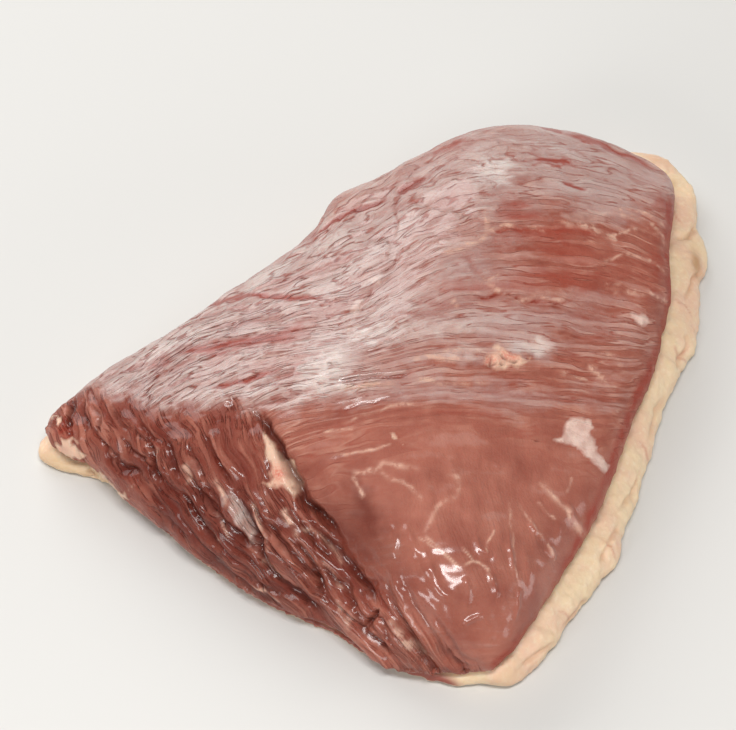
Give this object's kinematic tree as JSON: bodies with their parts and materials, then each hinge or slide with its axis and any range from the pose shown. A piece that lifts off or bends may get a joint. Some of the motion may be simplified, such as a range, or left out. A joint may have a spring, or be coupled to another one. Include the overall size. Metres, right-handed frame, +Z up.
{
  "type": "raw picanha",
  "caption": "Whole raw picanha, the rump cap of beef: a rounded triangle of lean muscle lying on its fat cap.",
  "frame": {"origin": "on the table, under the middle of the joint's box", "axes": "+Z up from the fat side to the muscle side, +X from the pointed end towards the thick cut side, +Y away from the viewer"},
  "size_m": [0.2618, 0.258, 0.0605],
  "materials": {
    "muscle": "raw beef under a thin moist membrane",
    "fat_cap": "cool raw beef fat, cream, slightly greasy"
  },
  "bodies": {
    "root": {"muscle": "muscle", "fat_cap": "fat_cap"}
  },
  "joints": []
}
